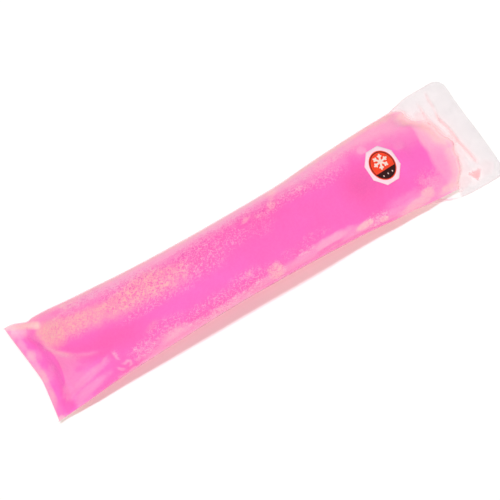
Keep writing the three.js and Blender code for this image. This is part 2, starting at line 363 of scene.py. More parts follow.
def sleeve_piece(name, sleeve, grid, upper_steps, values, material):
    """A closed tube through a grid (x, y, z) whose rows are rings, with values on its points. It is
    one of the pieces that stand for the filled sleeve."""
    rows, columns = grid[0].shape
    ring = np.arange(columns)
    start = cap_faces(ring, upper_steps, False)
    end = cap_faces(ring + (rows - 1) * columns, upper_steps, True)
    points = sleeve.in_frame(*grid).reshape(-1, 3)
    piece = new_mesh_object(name, points, tube_faces(rows, columns), start, end)
    for key, value in values.items():
        set_values(piece, key, value)
    piece.data.materials.append(material)
    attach(piece, BODY)
    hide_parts(SLEEVE_NODE)


# Where the ice ends inside the top of the sleeve: x of its edge for some values of y. It thins out
# towards that edge over the taper, which is longer near the +Y side.
ICE_EDGE = (
    (-21, 77.5), (-18.5, 78), (-17, 78.6), (-15, 80), (-13.5, 82), (-11, 83), (-8, 84), (-4.5, 84.2),
    (-3, 85.5), (0, 84.2), (3, 82.7), (6, 82), (9, 80.6), (10.7, 79), (12, 76.2), (14, 74.6),
    (17.3, 74.2), (18, 73), (19.3, 70), (21, 68),
)
END_TAPER, LONGER_TAPER = 3.4, 3.6
# From this x on, the ice's -Y side is a straight line, which goes through a point at this slope.
STRAIGHT_FROM, STRAIGHT_POINT, STRAIGHT_SLOPE = 58.0, (64.0, 18.2), 0.05
ICE_START, ICE_END = 0.5, 78.0  # first ring, from the end of the sleeve, and the last one's place
ABOVE_TABLE, ROUGH_ABOVE_TABLE = 0.12, 0.1  # how low the ice lies, and how low its roughness goes
ICE_GRID = (560, 112, 44)  # rings along the pop, and steps of each over its top and its underside
FILM_GRID = (460, 100, 60)


def ice_half(sleeve, x, side):
    """Half width of the ice on one side: the sleeve's less its fold, but the ice keeps to a straight
    line on the -Y side where the empty film flares out."""
    line = STRAIGHT_POINT[1] + STRAIGHT_SLOPE * (x - STRAIGHT_POINT[0])
    straight = np.where((side < 0) & (x > STRAIGHT_FROM), line, np.inf)
    return np.minimum(sleeve.half_width(x, side) - FOLD_LIP, straight)


def ice_edge(y):
    """x of the uneven end of the ice: its points joined by lines whose corners are rounded by a mean
    over five places, with a fine unevenness."""
    ys, xs = np.array(ICE_EDGE).T
    spread = sum(np.interp(y + d, ys, xs) for d in (-0.6, -0.3, 0.0, 0.3, 0.6)) / 5
    return spread + 0.25 * mottle(y, 2.0, 1.3, 5) + 0.15 * mottle(y, 0.0, 0.6, 6)


# Frost is laid out in kinds, by place. Cream and peach are thick and warm, pale is thin and pink, and
# bare takes frost away again. Deep is where the ice looks darkest, and in most places it is painted
# shade. Cool is where it is more violet, and in two places it is painted light on a slope in shade.
# Ovals of each kind: x, y, half length, half width, turn in degrees, softness of the rim, strength.
OVALS = {
    "cream": (
        (-93.4, -18.6, 1.2, 0.8, 0, 0.5, 0.5), (-72.6, 16.8, 1.5, 0.7, 0, 0.5, 0.5),
        (-42.5, -13.2, 6, 1.8, 0, 0.6, 0.3), (-7.5, -8.9, 1.5, 0.7, 20, 0.6, 0.3),
        (1.9, -12.6, 3, 2.5, 0, 0.35, 0.2), (39.2, -13.9, 3.3, 1.1, 3, 0.22, 0.55),
        (46.8, -15.2, 1.7, 0.8, 0, 0.25, 0.52), (1.3, 8.8, 1.8, 0.7, 15, 0.6, 0.38),
        (6.5, 7.8, 2, 1, -20, 0.8, 0.2), (12.4, 8.8, 2.2, 1.2, 25, 0.8, 0.3),
        (15, 13.8, 2.4, 1.4, 0, 0.6, 0.5), (64.5, 18.2, 6, 1.6, 2, 0.6, 0.6),
        (75.2, 14.8, 1.5, 3, 0, 0.5, 0.5), (61.6, -16.2, 7.8, 1.5, 2, 0.25, 0.42),
        (66.6, -14.4, 2.8, 1.6, 0, 0.25, 0.5), (75, -16.9, 4.5, 1.5, 0, 0.5, 0.55),
    ),
    "peach": (
        (-91.8, 6.6, 1.5, 2.4, 0, 0.5, 0.24), (-92, -2, 1.7, 3.4, 0, 0.6, 0.44),
        (-92.6, -9, 1.3, 4.8, -5, 0.6, 0.42), (-47.5, -7.4, 2.6, 1, 15, 0.7, 0.18),
        (1.9, -12.6, 3, 2.5, 0, 0.25, 0.3),
    ),
    "pale": (
        (-92.9, 12.5, 1.3, 3, 0, 0.6, 0.4), (-91.6, 6.9, 1.9, 2.3, 0, 0.45, 0.62),
        (-92.2, 3, 1.6, 2.4, 0, 0.6, 0.36), (-89.6, 5.6, 1.4, 2, 0, 0.7, 0.3),
        (-90.6, -2.4, 2.7, 3.2, 0, 0.6, 0.3), (-88, -1.2, 1.3, 1.8, 0, 0.7, 0.25),
        (-92.3, -7.5, 1.4, 4.6, -5, 0.5, 0.05), (-78.5, -11.2, 9.2, 1.6, 8, 0.5, 0.5),
        (-78.5, -15, 8, 1.8, 7, 0.5, 0.45), (-69.5, -9.6, 2.8, 0.7, 25, 0.5, 0.42),
        (-57.2, -11.4, 0.9, 0.5, 30, 0.4, 0.35), (-52.5, -14, 5, 2.4, 0, 0.5, 0.28),
        # From (14, -13) to (24.3, -14.9): a pale strip along the -Y side that is a painted reflection, with
        # a thin painted highlight at its lower rim.
        (-85.5, -11.3, 2.8, 2.4, 20, 0.5, 0.42), (14, -13, 9, 1.3, 6, 0.5, 0.55),
        (25.5, -12.8, 9.6, 1.6, 0, 0.5, 0.74), (24.3, -14.9, 2.6, 0.3, 0, 0.5, 0.8),
        (52.4, 11.2, 2.2, 1.7, 0, 0.25, 0.72), (60, 11, 1.9, 0.6, -8, 0.3, 0.7),
        # The ovals at (70.5, 15) and (72, 14) are painted light on the slope down to the ice's end, which
        # lies in shade.
        (66, 6.2, 2.6, 2.2, 0, 0.5, 0.38), (70.5, 15, 4, 4, 0, 0.7, 0.8),
        (72, 14, 4, 3, -35, 0.6, 0.95), (57.5, -13.2, 8, 2.2, 0, 0.6, 0.3),
        (67, -10.6, 1.6, 2.4, 10, 0.6, 0.3), (71.5, -13.2, 4, 3.4, 0, 0.6, 0.5),
        (77, -11.5, 4, 4.6, 5, 0.5, 0.4), (-21, 6, 10, 5, 0, 0.9, 0.07),
    ),
    "bare": (
        (-78.5, -7, 1.8, 1.1, -10, 0.6, 0.55), (-75.5, -5.2, 2.2, 0.9, -20, 0.6, 0.5),
        (-89.2, -16.8, 3.4, 2.4, 0, 0.5, 1), (-74, -17.3, 7, 1.2, 4, 0.5, 0.8),
        (-75.5, 15.6, 2.4, 0.7, -10, 0.6, 0.25), (24, -14.5, 6.5, 0.6, 2, 0.5, 0.7),
        (48, 9.5, 1.8, 3.6, 20, 0.7, 0.6), (83.9, -2.6, 1.3, 2.2, 0, 0.6, 0.3),
    ),
    "deep": (
        # The ovals at (46.5, -1.5), beside the label, and at (-66, -4), above the step on the crown's slope
        # away from the light, are painted shade.
        (46.5, -1.5, 7.5, 8, 0, 0.9, 0.75), (-66, -4, 15, 3.6, -8, 0.9, 0.6),
        (6, 0.5, 9, 7, 0, 0.9, 0.22),
    ),
    "cool": (
        # The ovals at (-87.5, 0), over the valley by the seal, and at (70, 9), on the slope down to the
        # ice's end, are painted light where the slope lies in shade.
        (70, -2, 9, 11, 0, 0.9, 1), (-29, -5, 16, 5, 0, 0.9, 0.3), (-87.5, 0, 3.2, 16, 0, 0.9, 1),
        (38, 9, 14, 5, 0, 0.9, 0.6), (-79, -9, 9, 9, 0, 0.9, 0.9), (70, 9, 7, 8, 0, 0.9, 0.8),
    ),
}

# Streaks of each kind: half width, strength, and a run of points (x, y). The first cream streak and
# the second pale one follow the step at the seal: they are a painted highlight along it.
STREAKS = {
    "cream": (
        (0.9, 0.3, ((-85.8, 7.6), (-84.9, 5.6), (-83, 3.2), (-80.9, 1), (-78.7, -0.9))),
        (0.9, 0.28, ((16, 14.6), (14, 11.8), (11, 7.4))),
        (0.5, 0.36, ((-78, 13.9), (-76.4, 13.6), (-74.8, 14))),
        (0.45, 0.4, ((-72.8, 14.2), (-71.2, 14.9), (-69.4, 14.4), (-68, 14.6))),
        (0.45, 0.36, ((-73.6, 16.4), (-72.4, 15.6), (-70, 16), (-66, 15.4))),
    ),
    "pale": (
        (2.6, 0.95, ((-94.6, 18.6), (-91.5, 17), (-88.4, 15.6))),
        (0.7, 0.36, ((-80.9, 1), (-78.6, -0.9), (-76.2, -2.6), (-73.2, -4.1), (-69.7, -5.2))),
        (0.45, 0.55, ((-64.9, -8.2), (-64.2, -9.4), (-64.5, -10.8), (-63.9, -11.6))),
        (0.45, 0.66, ((-63.8, -13.5), (-62.8, -13.9), (-61.6, -13.5), (-60.7, -14.1),
         (-60.8, -15), (-61.8, -15.4))),
        (0.45, 0.5, ((-66, -13.9), (-65.1, -15), (-64, -15.4))),
        (0.55, 0.5, ((-58.8, -14.5), (-57.9, -15.1), (-57, -14.3))),
        (0.45, 0.45, ((-67.6, -16.6), (-66.4, -17.1), (-65.2, -16.8))),
        (0.45, 0.45, ((-56.6, -12.6), (-55.2, -13.1), (-54.2, -12.3))),
        (0.4, 0.45, ((-62.9, -16.9), (-61.6, -17.2))),
        (0.4, 0.45, ((-62.6, 14.4), (-61, 15), (-60.2, 14))),
    ),
    "bare": (
        (0.4, 0.4, ((-87.5, -15.3), (-84, -14.2), (-80, -13.3), (-76, -13), (-68, -12))),
    ),
}

# Places where the frost breaks up into strokes: x, y, half length, half width, turn, density.
FLECKED = (
    (-44, 6.5, 18, 7, -8, 0.9), (-73, 9, 12, 6, -8, 0.5), (-20, 5, 12, 7, 0, 1),
    (-7, 5.5, 9, 4, 0, 0.75), (5, 4.5, 6, 4.5, 0, 0.45), (11, 8.4, 7, 2.6, 0, 0.8),
    (22, 8.8, 8, 2.6, 0, 0.85), (-8, 10.8, 24, 2.6, 0, 0.45), (36, 13, 16, 2.2, 0, 0.35),
    (35, 8, 9, 3.4, 0, 0.65), (-64, 14.8, 12, 2.6, 0, 0.5), (-44, -1, 14, 1.8, 0, 0.8),
    (-30, -1.5, 5, 2, 0, 0.5), (-43, -10, 9, 3, 0, 0.8), (-24, -12.2, 15, 3.6, 0, 1),
    (-9, -11, 9, 4.2, 0, 0.9), (-54, -12.6, 7, 2.8, 0, 0.85), (-64, -9.6, 1.4, 2.2, 0, 0.4),
    (20, -8.6, 7, 1.8, 0, 0.45), (14, -11.2, 5, 1.6, 0, 0.7), (8.5, -9.6, 3, 1.8, 0, 0.5),
    (44.5, -14.2, 5, 2.6, 0, 0.95), (69, -10.5, 6, 5, 0, 0.4), (2, -12.5, 4, 3.4, 0, 0.8),
)

# How far in from the folds the frost under them reaches, along x, on the +Y and the -Y side.
HIGH_RIM = (
    (-88, 3.5), (-83, 7), (-70, 8.6), (-55, 7.8), (-42, 7.6), (-30, 6.8), (-12, 5.9), (2, 5.9),
    (14, 6.2), (24, 8.4), (38, 9.8), (47, 9.6), (62, 13), (69, 16), (80, 19),
)
LOW_RIM = (
    (-90, 0.1), (-80, 0.1), (-68, 0.1), (-56, 0.6), (-42, 3.8), (-28, 2.4), (-12, 2.6), (5, 3.8),
    (22, 3.6), (38, 4), (47, 4.4), (62, 5.6), (72, 9), (80, 12),
)

# The crown's frost: where it is half as strong above and below, and how strong it is, along x.
CROWN_TOP = (
    (-88, 12), (-84, 15), (-80, 14.5), (-76, 12.6), (-68, 10.8), (-55, 9.4), (-42, 11), (-32, 8.8),
    (-22, 6),
)
CROWN_LOW = (
    (-88, 9.5), (-85.5, 6.8), (-83, 5), (-80, 4.6), (-76, 5), (-68, 3.9), (-62, 2.7), (-55, 1.6),
    (-42, 0.9), (-32, 0.2), (-22, 1.5),
)
CROWN_STRENGTH = (
    (-87, 0.2), (-84.5, 0.7), (-76, 0.66), (-68, 0.64), (-60, 0.55), (-55, 0.53), (-42, 0.49),
    (-30, 0.4), (-24, 0.15), (-20, 0),
)


def oval_distance(x, y, px, py, length, width, turn):
    """Distance from an oval's middle, with 1 on its rim."""
    c, s = math.cos(math.radians(turn)), math.sin(math.radians(turn))
    u = ((x - px) * c + (y - py) * s) / length
    v = (-(x - px) * s + (y - py) * c) / width
    return np.hypot(u, v)


def laid_out(kind, x, y):
    """The strongest oval or streak of one kind at each point. The rims are broken by a mottle."""
    total = np.zeros(np.shape(x))
    rim = cloudy(x, y, 1.8, 41)
    for px, py, length, width, turn, soft, strength in OVALS[kind]:
        reach = oval_distance(x, y, px, py, length, width, turn) + 0.28 * rim
        total = np.maximum(total, strength * smooth(-1.0 - soft, -1.0 + soft, -reach))
    for width, strength, run in STREAKS.get(kind, ()):
        nearest, share = distance_to_run(run, x, y)
        fade = smooth(0.0, 0.15, share) * smooth(0.0, 0.15, 1 - share)
        total = np.maximum(total, strength * bell(nearest / width + 0.3 * rim) * (0.4 + 0.6 * fade))
    return total


def fleck_density(x, y):
    """How thickly strokes of frost lie at each point: the strongest of the soft ovals there."""
    density = np.zeros(np.shape(x))
    for px, py, length, width, turn, strength in FLECKED:
        reach = oval_distance(x, y, px, py, length, width, turn)
        density = np.maximum(density, strength * smooth(-1.3, -0.55, -reach))
    return density


def frost_fields(sleeve, x, y, share, upper):
    """How much of each kind of frost and colour the ice shows at each point, from 0 to 1. Some of it is
    painted highlight, painted reflection, painted light and painted shade.
    """
    fine, middling, broad = cloudy(x, y, 1.4, 11), cloudy(x, y, 3.0, 12), cloudy(x, y, 7.0, 13)
    inward = ice_half(sleeve, x, np.where(share < 0, -1.0, 1.0)) - np.abs(y)
    rough = inward + 0.7 * middling + 0.3 * fine
    high_side = share > 0

    # The crown: peach frost with a painted highlight where it faces the light, strong in its middle,
    # fading slowly downwards, and cut off by the step.
    crown = smooth(-1.6, 1.6, curve_at(CROWN_TOP, x) - y + 0.9 * middling)
    crown = crown * smooth(-3.0, 3.0, y - curve_at(CROWN_LOW, x) + 0.9 * middling)
    above_step = smooth(-0.5, 0.7, y - step_line(x))
    crown = crown * np.where(x < -66.0, above_step, 1.0)
    crown = crown * np.maximum(0.0, curve_at(CROWN_STRENGTH, x + 2.0 * broad)) * (1 + 0.22 * fine)

    # Under the folds: two depths of pale frost, and a warm painted highlight along the +Y fold.
    high = curve_at(HIGH_RIM, x)
    rim = 0.48 * smooth(-0.68, -0.32, -rough / high) + 0.40 * smooth(-1.15, -0.6, -rough / high)
    rim = rim * high_side * (0.6 + 0.4 * smooth(-78.0, -50.0, x))
    near = smooth(-2.4, -0.3, -inward) * high_side * (0.7 + 0.3 * smooth(-84.0, -60.0, x))
    near = near * (1 - 0.5 * bell((x - 2.0) / 20.0))
    rosy = smooth(15.0, 32.0, -x)
    low = np.maximum(0.1, curve_at(LOW_RIM, x))
    low_rim = 0.5 * smooth(-1.15, -0.6, -np.maximum(0.0, rough) / low) * ~high_side
    bare_line = smooth(-12.0, 0.0, x) * smooth(-56.0, -48.0, -x) * smooth(-1.1, -0.5, -inward)
    low_rim = low_rim * (1 - 0.8 * bare_line)

    # The end of the ice: pale all through, and warm along the +Y part of its edge.
    to_edge = ice_edge(y) - x
    end_pale = smooth(73.2, 75.6, x + 0.7 * middling)
    end_pale = end_pale * (0.64 + 0.32 * np.maximum(smooth(-6.0, 4.0, y), smooth(-5.0, -2.0, -to_edge)))
    end_cream = 0.68 * smooth(-6.2, -1.8, -to_edge - 0.8 * middling) * (0.4 + 0.6 * smooth(-7.0, -1.0, y))
    end_cream = np.maximum(end_cream, 0.5 * smooth(-1.6, -0.6, -to_edge)) * smooth(-19.5, -15.5, -y)

    # The bottom seal: the web beyond the step, painted lighter next to the step as a highlight, the
    # outline, and the folded corner, painted lighter along its ridge as a highlight.
    from_valley = x - valley_line(y)
    outline = smooth(-1.3, -0.4, -(sleeve.half_length + x - curve_at(SEAL_EDGE, share)))
    web = smooth(1.9, 2.4, from_valley) * (1 - above_step) * smooth(70.0, 81.0, -x - 2.0 * broad)
    web = web * (0.37 + 0.12 * bell((step_line(x) - y - 1.0) / 2.0))
    off_fold, along = distance_to_run(FOLDED_CORNER, x, y)
    fold = (0.6 + 0.33 * along) * smooth(-1.5, -0.35, -(off_fold + 0.25 * fine) / (1.05 + 0.4 * along))

    bare = 1 - laid_out("bare", x, y)
    # Cream and peach take up the painted highlight along the +Y fold, and pale the one next to the step.
    cream = np.maximum.reduce([
        laid_out("cream", x, y), 0.62 * near * (1 - 0.65 * rosy), end_cream, fold,
    ]) * bare
    pale = np.maximum.reduce([laid_out("pale", x, y), rim, low_rim, end_pale, web]) * bare
    warm_edge_and_highlight = np.maximum((0.25 + 0.2 * rosy) * near, 0.4 * outline)
    peach = np.maximum.reduce([crown, laid_out("peach", x, y), warm_edge_and_highlight])
    below = np.where(upper, 0.0, 0.3 + 0.2 * middling)
    under = np.where(upper, 1.0, 0.5)

    # Thin ice lets more light through: towards the flap as its height falls off, and at the seal.
    lost_height = 1 - sleeve.height(x) / sleeve.thickest
    thin = 0.2 * smooth(-15.0, 15.0, x) + 0.8 * smooth(40.0, 78.0, x) * lost_height
    return {
        "cream_frost_and_highlight": cream * under,
        "peach_frost_and_highlight": peach * under,
        "pale_frost_and_painted_light": np.maximum(pale * under, below),
        "deep_and_shade_colour": np.where(upper, laid_out("deep", x, y), 0.0),
        "cool_and_painted_light_colour": np.where(upper, laid_out("cool", x, y), 0.0),
        "flecks": np.where(upper, fleck_density(x, y), 0.0),
        "thin": np.maximum(thin, 0.8 * smooth(78.0, 94.0, -x)),
    }


def ice_grid(sleeve, rows, upper_steps, lower_steps):
    """The ice inside the film: the sleeve's section without its film, from the bottom seal to the
    uneven edge, towards which it thins out as a sine. Rings near the top are drawn along X with the
    edge. As the width there follows from x and the edge from y, both are worked out in turns."""
    share, upper = ring_shares(upper_steps, lower_steps)
    share, upper = np.tile(share, (rows, 1)), np.tile(upper, (rows, 1))
    start = ICE_START - sleeve.half_length
    even = np.linspace(0.0, 1.0, rows)
    crowded = even + 0.045 * np.sin(2 * math.pi * even)
    station = (start + (ICE_END - start) * np.clip(crowded, 0.0, 1.0))[:, None]
    side = np.where(share < 0, -1.0, 1.0)
    stretch = smooth(ICE_END - 30.0, ICE_END, station)
    half = sleeve.half_width(station, side)
    x, y = sleeve.plan(station, share * (half - FOLD_LIP) / half)
    for _ in range(8):
        moved = station + (ice_edge(y) - ICE_END) * stretch
        x = np.where(station > 0, (x + moved) / 2, x)
        y = share * ice_half(sleeve, np.where(station > 0, x, station), side)
    at = np.where(station > 0, x, station)
    taper = END_TAPER + LONGER_TAPER * smooth(6.0, 11.0, y)
    to_edge = np.clip((ice_edge(y) - x) / taper, 0.0, 1.0)
    lip = np.sin(math.pi / 2 * to_edge) ** 1.6
    room = np.maximum(sleeve.height(at) / 2 - sleeve.stack / 2, 0.0)
    wall = (0.08 + room * sleeve.crown(at, np.abs(share), upper)) * lip
    wall = wall * np.sqrt(np.maximum(0.0, 1 - share**40))
    middle = sleeve.middle(at) + sleeve.flap_wave(x, y)
    raised = middle + np.maximum(0.05, wall + sleeve.relief(x, y, share) * lip)
    z = np.where(upper, raised, middle - wall)
    return x, y, np.maximum(ABOVE_TABLE, z), share, upper


def frost_relief(x, y, frost):
    """Fine unevenness of the frosted ice, in millimetres: two sizes of mottle, which are stronger
    where frost shows."""
    grain = 0.5 * mottle(x, y, 0.7, 71) + 0.5 * mottle(x, y, 1.7, 72)
    return -0.05 + 0.05 * grain * (0.25 + frost)


def build_ice(context):
    """The ice, with its frost stored as values on its points."""
    sleeve = Sleeve(context.scene.ice_pop_sizes)
    x, y, z, share, upper = ice_grid(sleeve, *ICE_GRID)
    fields = frost_fields(sleeve, x, y, share, upper)
    frost = np.clip(fields["cream_frost_and_highlight"] + fields["peach_frost_and_highlight"] + fields["pale_frost_and_painted_light"], 0.0, 1.0)
    z = z + np.where(upper, frost_relief(x, y, frost), 0.0) * (1 - share**8)
    grid = (x, y, np.maximum(z, ROUGH_ABOVE_TABLE))
    sleeve_piece("ice", sleeve, grid, ICE_GRID[1], fields, ice_material(context.scene.ice_pop_colours))


def crease_lines(x, y):
    """Where the flap's creases show: a bell about each run of points, fading out at both ends."""
    total = np.zeros(np.shape(x))
    for height, width, run in FLAP_CREASES:
        nearest, share = distance_to_run(run, x, y)
        fade = smooth(0.0, 0.3, share) * smooth(0.0, 0.12, 1 - share)
        total = np.maximum(total, 2.0 * height * fade * bell(nearest / (0.55 * width)))
    return total


def depth_inside(corners, x, y):
    """Distance to the nearest side of a shape whose corners run clockwise, positive inside it."""
    depth = np.full(np.shape(x), np.inf)
    for (ax, ay), (bx, by) in zip(corners, corners[1:] + corners[:1]):
        across = (by - ay) * (x - ax) - (bx - ax) * (y - ay)
        depth = np.minimum(depth, across / math.hypot(bx - ax, by - ay))
    return depth


def frozen_juice(x, y):
    """How much thin juice is frozen between the walls: soft ovals with uneven rims, and a wafer."""
    total = np.zeros(np.shape(x))
    rim = cloudy(x, y, 1.6, 51)
    for px, py, length, width, turn, strength in JUICE:
        reach = oval_distance(x, y, px, py, length, width, turn) + 0.3 * rim
        total = np.maximum(total, strength * smooth(-1.35, -0.65, -reach))
    wafer = depth_inside(WAFER, x, y) + 0.3 * rim + 0.35 * cloudy(x, y, 0.7, 52)
    return np.maximum(total, 0.9 * smooth(-0.2, 0.2, wafer))


def build_film(context):
    """The clear sleeve: a closed skin. Its creases with the painted highlight along its side folds, its
    juice and where it lies on ice are stored on its points. Along the edge of the ice the juice fades out
    on both sides as a bell."""
    sleeve = Sleeve(context.scene.ice_pop_sizes)
    rows, upper_steps, lower_steps = FILM_GRID
    share, upper = (np.tile(values, (rows, 1)) for values in ring_shares(upper_steps, lower_steps))
    even = np.linspace(-1.0, 1.0, rows)
    station = (sleeve.half_length * (even + 0.09 * np.sin(math.pi * even)))[:, None]
    x, y, z = sleeve.skin(station, share, upper)
    creases = crease_lines(x, y) * smooth(79.0, 82.0, x)
    # The side folds, where the film is painted warm and milky as a highlight.
    fold = smooth(0.965, 0.995, np.abs(share))
    from_edge = x - ice_edge(y)
    along_edge = 0.32 * np.where(from_edge > 0, bell(from_edge / 1.3), bell(from_edge / 0.9))
    between_folds = np.abs(y) < 18.9
    values = {
        "crease_and_fold_highlight": np.maximum(creases, (0.45 - 0.25 * smooth(70.0, 76.0, x)) * fold),
        "juice": np.maximum(frozen_juice(x, y) * smooth(-0.5, 0.5, from_edge), along_edge * between_folds),
        "on_ice": smooth(-0.6, 0.6, -from_edge),
    }
    material = film_material(context.scene.ice_pop_colours)
    sleeve_piece("film", sleeve, (x, y, z), upper_steps, values, material)


class LabelPlace:
    """Puts flat shapes, drawn in millimetres about the label's middle, on the curved sleeve."""

    def __init__(self, sleeve, label):
        self.sleeve = sleeve
        self.x = (LABEL_LOW.x + LABEL_HIGH.x) / 2 / MM + sleeve.middle_x
        self.y = (LABEL_LOW.y + LABEL_HIGH.y) / 2 / MM + sleeve.middle_y
        self.turn = label.turn

    def on_film(self, p, q, lift):
        """Places p along and q across the label: turned, moved there, and lifted off the film."""
        c, s = math.cos(self.turn), math.sin(self.turn)
        x = self.x + p * c - q * s
        y = self.y + p * s + q * c
        return self.sleeve.in_frame(x, y, self.sleeve.film_height(x, y) + lift)


def eight_sided(angle):
    """Radius of an octagon with an inner radius of 1, with a corner between each two sides."""
    side = math.pi / 4
    return 1 / np.cos((angle + side / 2) % side - side / 2)


def round_outline(half_sizes, radius=np.ones_like):
    """Outline of an oval, or of another shape with a radius given by angle: that radius times the
    cosine and the sine of the angle, times the half sizes."""
    angle = np.linspace(0.0, 2 * math.pi, 128, endpoint=False)
    reach = radius(angle)
    return np.stack([reach * np.cos(angle) * half_sizes[0], reach * np.sin(angle) * half_sizes[1]], -1)


def segment_outline(half_sizes, level):
    """Outline of the part of an oval that lies below the given share of its half height: the arc
    between the two places at that height, and the chord back."""
    tilt = math.asin(-level)
    arc = np.linspace(math.pi + tilt, 2 * math.pi - tilt, 60)
    round_part = np.stack([np.cos(arc) * half_sizes[0], np.sin(arc) * half_sizes[1]], -1)
    chord = np.linspace(round_part[-1], round_part[0], 32)[1:-1]
    return np.vstack([round_part, chord])


def bar_outline(start, end, width, steps=12):
    """Outline of a bar with round ends: its two sides, which close in over the last half width."""
    start, end = np.array(start), np.array(end)
    length = np.hypot(*(end - start))
    along = (1 - np.cos(np.linspace(0.0, math.pi, steps)))[:, None] / 2
    into_end = np.clip(np.minimum(along, 1 - along) * length / (width / 2), 0.02, 1.0)
    half = width / 2 * np.sqrt(1 - (1 - into_end) ** 2)
    spine = start + along * (end - start)
    across = np.array([start[1] - end[1], end[0] - start[0]]) / length
    return np.vstack([spine + half * across, (spine - half * across)[::-1]])


def plate(place, outline, low, high, rings=8, hole=0.0):
    """Points and quads of a thin plate on the film: copies of an outline, drawn in towards its
    middle or towards a hole, run over the top, down the rim and back below."""
    middle = outline.mean(0)
    out = np.linspace(hole, 1.0, rings + 1)
    share = np.concatenate([out, out[::-1]])[:, None, None]
    lift = np.repeat([high, low], rings + 1)[:, None]
    p, q = np.moveaxis(middle + share * (outline - middle), -1, 0)
    points = place.on_film(p, q, lift).reshape(-1, 3)
    rows = share.size + (1 if hole else 0)
    return points, tube_faces(rows, len(outline))[:, ::-1] % len(points)


def plates_object(name, plates):
    """One object from several plates."""
    sizes = [len(points) for points, _ in plates]
    first = np.cumsum([0, *sizes[:-1]])
    quads = np.vstack([faces + base for (_, faces), base in zip(plates, first)])
    piece = new_mesh_object(name, np.vstack([points for points, _ in plates]), quads)
    merge_doubles(piece)
    return piece


def merge_doubles(piece):
    """Joins points that lie on each other, such as a plate's middle, and turns all faces outwards."""
    shape = bmesh.new()
    shape.from_mesh(piece.data)
    bmesh.ops.remove_doubles(shape, verts=shape.verts, dist=1e-7)
    bmesh.ops.recalc_face_normals(shape, faces=shape.faces)
    shape.to_mesh(piece.data)
    shape.free()
    piece.data.polygons.foreach_set("use_smooth", np.ones(len(piece.data.polygons), bool))


def flake_bars(label):
    """Start, end and width of every bar of a snowflake: six arms, each with a pair of short twigs."""
    middle = np.array([0.0, label.flake_up / MM])
    reach, thin = label.flake_size / MM / 2, label.flake_stroke / MM
    bars = []
    for k in range(6):
        angle = math.radians(60 * k + 8)
        arm = reach * np.array([math.cos(angle), math.sin(angle)])
        bars.append((middle, middle + arm, thin))
        for turn in (-1, 1):
            twig = angle + turn * math.radians(52)
            foot = middle + 0.56 * arm
            tip = foot + 0.34 * reach * np.array([math.cos(twig), math.sin(twig)])
            bars.append((foot, tip, 0.85 * thin))
    return bars


# Millimetres above the film between which each layer of the label lies. Each bar of the motif is a
# step higher than the last, so that no two tops lie in one plane.
PLATE_LAYER, PRINT_LAYER, DARK_LAYER, RING_LAYER = (0.02, 0.16), (0.14, 0.2), (0.18, 0.22), (0.18, 0.23)
MOTIF_LOW, MOTIF_HIGH, MOTIF_STEP = 0.19, 0.25, 0.003
# The dots are short bars: how far across and along they lie, and their half length and width.
DOTS_UP, DOTS_ALONG, DOT_HALF, DOT_WIDTH = -3.7, (-1.9, 0.0, 1.9), 0.2, 0.9


def build_label(context):
    """The label: an eight-sided pale plate with an oval print. The lower part of the print is dark,
    with three dots on it, and above it is a snowflake. A thin ring runs round the print."""
    label = context.scene.ice_pop_label
    colours = context.scene.ice_pop_colours
    place = LabelPlace(Sleeve(context.scene.ice_pop_sizes), label)
    halves = np.array([label.along, label.across]) / MM / 2
    printed = halves * label.print_share
    ringed = printed * 0.93
    dark_part = segment_outline(ringed, label.dark_level)
    dots = [((x - DOT_HALF, DOTS_UP), (x + DOT_HALF, DOTS_UP), DOT_WIDTH) for x in DOTS_ALONG]
    bars = [bar_outline(*bar) for bar in dots + flake_bars(label)]
    motif = [
        plate(place, bar, MOTIF_LOW, MOTIF_HIGH + MOTIF_STEP * k, rings=5) for k, bar in enumerate(bars)
    ]
    eight = round_outline(halves, eight_sided)
    pieces = (
        (plates_object("label_plate", [plate(place, eight, *PLATE_LAYER, rings=14)]),
         paper_material("label paper", colours.paper, 0.05)),
        (plates_object("label_print", [plate(place, round_outline(printed), *PRINT_LAYER, rings=12)]),
         paper_material("label print", colours.print_colour, 0.12)),
        (plates_object("label_dark", [
            plate(place, dark_part, *DARK_LAYER),
            plate(place, round_outline(ringed), *RING_LAYER, rings=2, hole=0.94),
        ]), paper_material("label dark", colours.dark, 0.1)),
        (plates_object("label_motif", motif), paper_material("label motif", colours.motif, 0.05)),
    )
    for piece, material in pieces:
        piece.data.materials.append(material)
        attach(piece, BODY)
    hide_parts(LABEL_NODE)


